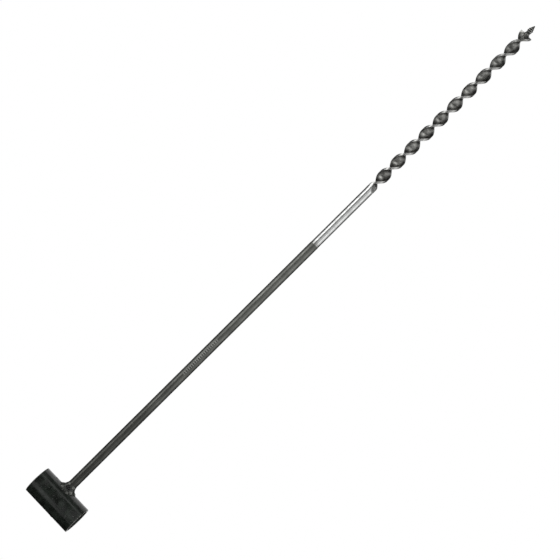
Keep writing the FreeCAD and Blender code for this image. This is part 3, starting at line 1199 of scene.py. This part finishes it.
def tick_row(tree, z):
    """Faint ticks across the front of the rod over a short stretch of it."""
    above = fade(tree, z, TICKS_LOW - 1, TICKS_LOW + 1)
    stretch = calc(tree, "MULTIPLY", above, fade(tree, z, TICKS_HIGH - 1, TICKS_HIGH + 1, 1.0, 0.0))
    beat = calc(tree, "FRACT", calc(tree, "DIVIDE", z, TICK_STEP))
    mark = calc(tree, "MULTIPLY", fade(tree, beat, 0.2, 0.28), fade(tree, beat, 0.62, 0.7, 1.0, 0.0))
    across = calc(tree, "ABSOLUTE", axis_value(tree, "X"))
    front = calc(tree, "LESS_THAN", axis_value(tree, "Y"), 0.0)
    row = calc(tree, "MULTIPLY", fade(tree, across, 1.5, 1.9, 1.0, 0.0), front)
    return calc(tree, "MULTIPLY", calc(tree, "MULTIPLY", stretch, mark), row)


def black_bar():
    """Drawn steel bar with a dark oxide skin: satin, lined along its length."""
    material, tree, shader = new_material("oxidised_drawn_bar")
    z = axis_value(tree, "Z")
    bare = fade(tree, z, -30, -430, 0.0, 1.0)
    base = mix(tree, bare, srgb("30302d"), srgb("62635f"))
    drawn = mottle(tree, 0.5, (1, 1, 60), detail=4)
    patches = fade(tree, mottle(tree, 8, (1, 1, 2.5)), 0.3, 0.7)
    base = mix(tree, calc(tree, "MULTIPLY", fade(tree, drawn, 0.3, 0.75), 0.35), base, srgb("7b7c78"))
    base = mix(tree, calc(tree, "MULTIPLY", patches, 0.35), base, srgb("222321"))
    base = mix(tree, calc(tree, "MULTIPLY", tick_row(tree, z), 0.6), base, srgb("a8a9a6"))
    specks = fade(tree, mottle(tree, 0.7, detail=1), 0.68, 0.74)
    base = mix(tree, calc(tree, "MULTIPLY", specks, 0.35), base, srgb("8a8b88"))
    dress(tree, shader, base, blend(tree, patches, 0.34, 0.46), 0.9)
    relief(tree, shader, (drawn, 0.02), (mottle(tree, 2.5), 0.03), (specks, 0.02))
    return material


# %% [markdown]
# ### The bit's steel
#
# The bit has three surfaces. Ground steel is bright with fine lines round the axis: the neck. The
# forged faces of the flutes are dark, mottled scale rubbed down by use. The edges of the strip and
# the head's filed facets are ground bright again. The twist and the head take forged and ground
# steel in one material, told apart by the distance from the axis, since grinding only reached the
# outermost skin.

# %% Ground steel


def ground_neck():
    """Steel ground bright between centres: soft bright bands, with fine lines round it."""
    material, tree, shader = new_material("ground_steel")
    lines = mottle(tree, 0.9, (8, 8, 0.22), detail=4)
    clouds = fade(tree, mottle(tree, 7), 0.3, 0.7)
    bright = mix(tree, clouds, srgb("bfc0bf"), srgb("aaabaa"))
    bright = mix(tree, calc(tree, "MULTIPLY", fade(tree, lines, 0.4, 0.8), 0.3), bright, srgb("959695"))
    z = axis_value(tree, "Z")
    top = neck_high.z * 1000
    # Darker within a few millimetres of the rod.
    darker_near_rod = fade(tree, calc(tree, "ADD", z, calc(tree, "MULTIPLY", mottle(tree, 3), 5)), top - 6, top + 3)
    bright = mix(tree, calc(tree, "MULTIPLY", darker_near_rod, 0.8), bright, srgb("7d7d7a"))
    swell = fade(tree, axis_distance(tree), 6.1, 6.36, 1.0, 0.0)
    low_end = fade(tree, z, RUNOUT_TOP * 1000 - 1.0, RUNOUT_TOP * 1000 + 0.2, 1.0, 0.0)
    face = calc(tree, "MULTIPLY", swell, low_end)
    scale = mix(tree, fade(tree, mottle(tree, 3), 0.3, 0.7), srgb("c4c5c3"), srgb("a6a7a5"))
    dress(
        tree,
        shader,
        mix(tree, face, bright, scale),
        blend(tree, face, blend(tree, clouds, 0.23, 0.3), 0.44),
        1.0,
    )
    relief(tree, shader, (lines, 0.006), (mottle(tree, 4), 0.02))
    return material


# %% [markdown]
# Forge scale is cloudy and pitted, and use has rubbed it to a dull sheen. The grinder's edge
# wavers a little, so the line between the two follows a noise. Round the lips
# and their heels the outer edges were never ground, and are as dark as the forge left them.

# %% Forged steel


def forged(name, ground_from, dull_below=-2000.0):
    """Forged faces, dark and cloudy, and bright ground edges from that radius in millimetres.

    Within a few millimetres above the height given, the edges are left black from the forge.
    """
    material, tree, shader = new_material(name)
    waver = calc(tree, "MULTIPLY", calc(tree, "SUBTRACT", mottle(tree, 2.5), 0.5), 0.25)
    edge = calc(tree, "ADD", axis_distance(tree), waver)
    ground = fade(tree, edge, ground_from - 0.12, ground_from + 0.06)
    kept = fade(tree, axis_value(tree, "Z"), dull_below, dull_below + 8)
    scorched = calc(tree, "MULTIPLY", ground, calc(tree, "SUBTRACT", 1.0, kept))
    ground = calc(tree, "MULTIPLY", ground, kept)
    scale = mix(tree, fade(tree, mottle(tree, 6), 0.32, 0.68), srgb("565653"), srgb("858582"))
    pits = fade(tree, mottle(tree, 0.9, detail=4), 0.56, 0.72)
    scale = mix(tree, calc(tree, "MULTIPLY", pits, 0.5), scale, srgb("3c3c3a"))
    scale = mix(tree, scorched, scale, srgb("2e2e2c"))
    steel = mix(tree, mottle(tree, 1.4), srgb("a8a8a6"), srgb("828280"))
    rough = blend(tree, ground, blend(tree, mottle(tree, 4), 0.3, 0.46), 0.26)
    dress(tree, shader, mix(tree, ground, scale, steel), rough, 1.0)
    relief(tree, shader, (mottle(tree, 2.2), 0.06), (pits, 0.02))
    return material


# %% [markdown]
# A file leaves the palest steel on the tool, in short strokes. The thread is dark, and soil has
# rubbed its crest bright, which the material knows from the height kept with each point.

# %% Filed facets and thread


def filed():
    """Facet filed bright on a cutting lip: the palest steel here, with short file strokes."""
    material, tree, shader = new_material("filed_steel")
    strokes = mottle(tree, 0.5, (1, 1, 9), detail=3)
    base = mix(tree, fade(tree, strokes, 0.35, 0.75), srgb("eeeeea"), srgb("c9c9c5"))
    dress(tree, shader, base, 0.24, 1.0)
    relief(tree, shader, (strokes, 0.01))
    return material


def screw_steel():
    """Dark steel thread, rubbed bright along its crest."""
    material, tree, shader = new_material("dark_thread_steel")
    crest = add_node(tree, "ShaderNodeAttribute", {"attribute_name": "crest"}).outputs["Fac"]
    uneven = fade(tree, mottle(tree, 2.4), 0.2, 0.55)
    rubbed = calc(tree, "MULTIPLY", fade(tree, crest, 0.55, 0.95), uneven)
    scale = mix(tree, fade(tree, mottle(tree, 1.6), 0.35, 0.7), srgb("333432"), srgb("565754"))
    base = mix(tree, calc(tree, "MULTIPLY", rubbed, 0.85), scale, srgb("b2b2ae"))
    dress(tree, shader, base, blend(tree, rubbed, 0.42, 0.28), 1.0)
    relief(tree, shader, (mottle(tree, 0.8), 0.05))
    return material


# %% [markdown]
# Now the finishes are made, once each, and put on the pieces that are ready.

# %% Put on the finishes
enamel_black = enamel()
weld_black = weld_paint()
bar_skin = black_bar()
neck_steel = ground_neck()
twist_steel = forged("forged_steel_ground_edges", 8.36)
head_steel = forged("forged_steel_head", 9.72, LIP_PLANE * 1000 + 1)
filed_steel = filed()
thread_steel = screw_steel()

eye.data.materials.append(enamel_black)
weld.data.materials.append(weld_black)
rod.data.materials.append(bar_skin)
neck.data.materials.append(neck_steel)
screw.data.materials.append(thread_steel)
print("materials:", len(bpy.data.materials))

# %% [markdown]
# ## Running the node trees and finishing the head
#
# With the materials made, the two node trees can run. The spatter tree takes the chosen points
# and the patches. Its seed is fixed, so the droplets fall in the same places each time.

# %% Run the spatter tree
ground = spatter_ground()
scene.collection.objects.link(ground)
spatter = run_tree(
    "spatter",
    drop_points(),
    spatter_tree(),
    {
        "Ground": ground,
        "Small drops per square metre": 60000.0,
        "Smallest radius": mm(0.22),
        "Largest radius": mm(0.62),
        "Rise": 0.42,
        "Dent size": mm(1.1),
        "Dent depth": mm(0.12),
        "Seed": 11,
        "Material": weld_black,
    },
)
bpy.data.objects.remove(ground)
print("spatter:", len(spatter.data.polygons), "faces")

# %% [markdown]
# The twist tree takes the straight bar. Its pitch and start angle are the forging's own, so the
# strip meets the neck's flats above and the head below.

# %% Run the twist tree
bar = straight_bar()
scene.collection.objects.unlink(bar)
twist = run_tree(
    "twist",
    bar,
    twist_tree(),
    {
        "Pitch": PITCH,
        "Start angle": START_ANGLE,
        "Start height": twist_high.z,
        "Length": twist_high.z - twist_low.z,
        "Face radius": mm(7.6),
        "Dent size": mm(7),
        "Dent depth": mm(0.22),
        "Material": twist_steel,
    },
)
print("twist:", len(twist.data.polygons), "faces")

# %% [markdown]
# The head's cutters carry materials with them, since a face left by a cutter takes the cutter's
# material. So the facet on each lip comes out filed bright, and the rest stays forged.

# %% File the head
forging.data.materials.append(head_steel)
for turn in (0, math.pi):
    under = relief_cutter(turn)
    under.data.materials.append(head_steel)
    cut(forging, under)
    facet = rake_cutter(turn)
    facet.data.materials.append(filed_steel)
    cut(forging, facet)
boss = hub()
boss.data.materials.append(head_steel)
cut(forging, boss, "UNION")
trim_top(forging, twist_low.z)
forging.data.shade_smooth()
forging.data.set_sharp_from_angle(angle=math.radians(38))
print("head:", len(forging.data.polygons), "faces", [m.name for m in forging.data.materials])

# %% [markdown]
# ## What each piece replaces
#
# Each surface stands in for one node of the engineering model and rides on the one body, since
# nothing on this tool moves.

# %% Replace the engineering nodes
PIECES = [
    (eye, "eye_tube", "black_paint"),
    (weld, "eye_weld", "painted_weld"),
    (spatter, "weld_spatter", "painted_weld"),
    (rod, "shank_rod", "black_rod"),
    (neck, "auger_neck", "ground_steel"),
    (twist, "auger_twist", "forged_steel"),
    (forging, "cutting_head", "forged_steel"),
    (screw, "lead_screw", "dark_steel"),
]
for piece, node, slot in PIECES:
    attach(piece, "root")
    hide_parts(node)
    low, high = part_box(node)
    corners = [vertex.co for vertex in piece.data.vertices]
    over = [
        max(max(c[k] for c in corners) - high[k], low[k] - min(c[k] for c in corners)) * 1000
        for k in range(3)
    ]
    print(f"{piece.name}: past its node by {max(over):.2f} mm")

# %% [markdown]
# ## Studio
#
# The floor and the world shine plain white to the camera and in reflections, so the floor shows no
# shadow. For the light that falls on the tool the world is weaker and the floor is matt. The tool
# hangs half a metre above the floor, as if held by its eye. Grey and black cards that the camera
# can't see hang round it. Bright round steel shows them as dark lines, and without them it would
# look flat and white.

# %% Floor and world
FLOOR_HALF = 4.0
FLOOR_DROP = mm(500)
WORLD_LIGHT = 0.55


def light_path(tree):
    """1 for camera, glossy and transmission rays, and 0 for the rays that light things."""
    path = add_node(tree, "ShaderNodeLightPath").outputs
    seen = calc(tree, "MAXIMUM", path["Is Camera Ray"], path["Is Glossy Ray"])
    return calc(tree, "MAXIMUM", seen, path["Is Transmission Ray"])


def panel(name, corners, material):
    """Flat panel that belongs to the studio."""
    mesh = bpy.data.meshes.new(name)
    mesh.from_pydata(corners, [], [tuple(range(len(corners)))])
    mesh.materials.append(material)
    board = bpy.data.objects.new(name, mesh)
    scene.collection.objects.link(board)
    return board


def make_world():
    """White surroundings that give a plain, even light."""
    world = bpy.data.worlds.new("studio")
    tree = emptied(world)
    level = blend(tree, light_path(tree), WORLD_LIGHT, 1.0)
    back = add_node(tree, "ShaderNodeBackground", Color=(1, 1, 1, 1), Strength=level)
    out = add_node(tree, "ShaderNodeOutputWorld")
    tree.links.new(back.outputs[0], out.inputs["Surface"])
    scene.world = world


def make_floor():
    """Plain white floor under the hanging tool."""
    material = bpy.data.materials.new("white_floor")
    tree = emptied(material)
    matt = add_node(tree, "ShaderNodeBsdfDiffuse", Color=srgb("f4f4f2"))
    glow = add_node(tree, "ShaderNodeEmission", Color=(1, 1, 1, 1), Strength=1.0)
    seen = light_path(tree)
    both = add_node(tree, "ShaderNodeMixShader", i0=seen, i1=matt.outputs[0], i2=glow.outputs[0])
    out = add_node(tree, "ShaderNodeOutputMaterial")
    tree.links.new(both.outputs[0], out.inputs["Surface"])
    z = screw_low.z - FLOOR_DROP
    sides = [(-1, -1), (1, -1), (1, 1), (-1, 1)]
    return panel("floor", [(FLOOR_HALF * x, FLOOR_HALF * y, z) for x, y in sides], material)


make_world()
make_floor()

# %% [markdown]
# A card is a flat board of one shade that only reflections can see. Most stand upright between
# two bearings round the tool's axis, in degrees from the front towards the eye's +X end. Two lie
# level over a rectangle, and one stands square to the front.

# %% Cards


def card_material(name, code):
    """Plain card of one shade, which shines by itself so that lamps don't change it."""
    material = bpy.data.materials.new(name)
    tree = emptied(material)
    flat = add_node(tree, "ShaderNodeEmission", Color=srgb(code), Strength=1.0)
    out = add_node(tree, "ShaderNodeOutputMaterial")
    tree.links.new(flat.outputs[0], out.inputs["Surface"])
    return material


def bearing(degrees, distance):
    """Point at that bearing and distance, measured from -Y towards +X."""
    a = math.radians(degrees)
    return distance * math.sin(a), -distance * math.cos(a)


def reflected_only(board):
    """Leaves the board visible in reflections and nowhere else."""
    board.visible_camera = False
    board.visible_diffuse = False
    board.visible_shadow = False
    return board


def card(name, start, end, distance, low, high, code):
    """Upright card between two bearings."""
    x0, y0 = bearing(start, distance)
    x1, y1 = bearing(end, distance)
    corners = [(x0, y0, low), (x1, y1, low), (x1, y1, high), (x0, y0, high)]
    return reflected_only(panel(name, corners, card_material(name, code)))


def level_card(name, low, high, z, code):
    """Level card over a rectangle, given by its two corners."""
    corners = [(low[0], low[1], z), (high[0], low[1], z), (high[0], high[1], z), (low[0], high[1], z)]
    return reflected_only(panel(name, corners, card_material(name, code)))


def upright_card(name, x0, x1, y, low, high, code):
    """Upright card square to the front, between two places along X."""
    corners = [(x0, y, low), (x1, y, low), (x1, y, high), (x0, y, high)]
    return reflected_only(panel(name, corners, card_material(name, code)))


# %% [markdown]
# The lamps are two tall soft boxes that face the tool from about the height of its middle: a
# stronger one on the +X side of the front and a weaker one on the other side.

# %% Lamps


def soft_light(name, degrees, distance, z, width, height, power):
    """Area light at a bearing, aimed level at the tool's axis."""
    light = bpy.data.lights.new(name, "AREA")
    light.shape = "RECTANGLE"
    light.size = width
    light.size_y = height
    light.energy = power
    lamp = bpy.data.objects.new(name, light)
    x, y = bearing(degrees, distance)
    lamp.location = (x, y, z)
    lamp.rotation_euler = Vector((x, y, 0)).to_track_quat("Z", "Y").to_euler()
    lamp.visible_camera = False
    scene.collection.objects.link(lamp)
    return lamp


# %% [markdown]
# A round bar shows a narrow line of whatever stands round it. The front card makes the dark line
# down the neck, close to its middle. The side and back cards darken the edges of round steel,
# which would melt into the white background. The floor card dulls the eye's lower front, the top
# card blackens its upper side, and the corner card greys a part of its front.

# %% Place the cards and lamps
# Cards between bearings: the two bearings, then distance, lowest and highest point in metres.
card("front_card", 2, 20, 0.8, -1.36, 0.19, "101010")
card("side_card", 86, 112, 0.9, -1.1, 0.2, "707070")
card("back_card_plus", 112, 165, 0.9, -1.1, 0.3, "303030")
card("back_card_minus", -106, -165, 0.9, -1.1, 0.3, "303030")

# Level cards: two opposite corners and the height. Square card: both ends in X, then Y, lowest
# and highest point.
level_card("floor_card", (-0.8, -0.5), (0.8, 0.34), -1.38, "505050")
level_card("top_card", (-0.9, -0.64), (0.9, 2.0), 0.6, "101010")
upright_card("corner_card", -0.5, 0.072, -0.7, 0.17, 0.6, "505050")

# Lamps: bearing, distance, height of the middle, width and height in metres, and watts.
soft_light("key", 50, 1.2, -0.4, 0.35, 1.4, 5)
soft_light("fill", -60, 1.4, -0.4, 0.5, 1.4, 2.5)
print("studio ready")

# %% [markdown]
# ## The end
#
# The last cell sets the plain view transform.

# %% Finish
scene.view_settings.view_transform = "Standard"
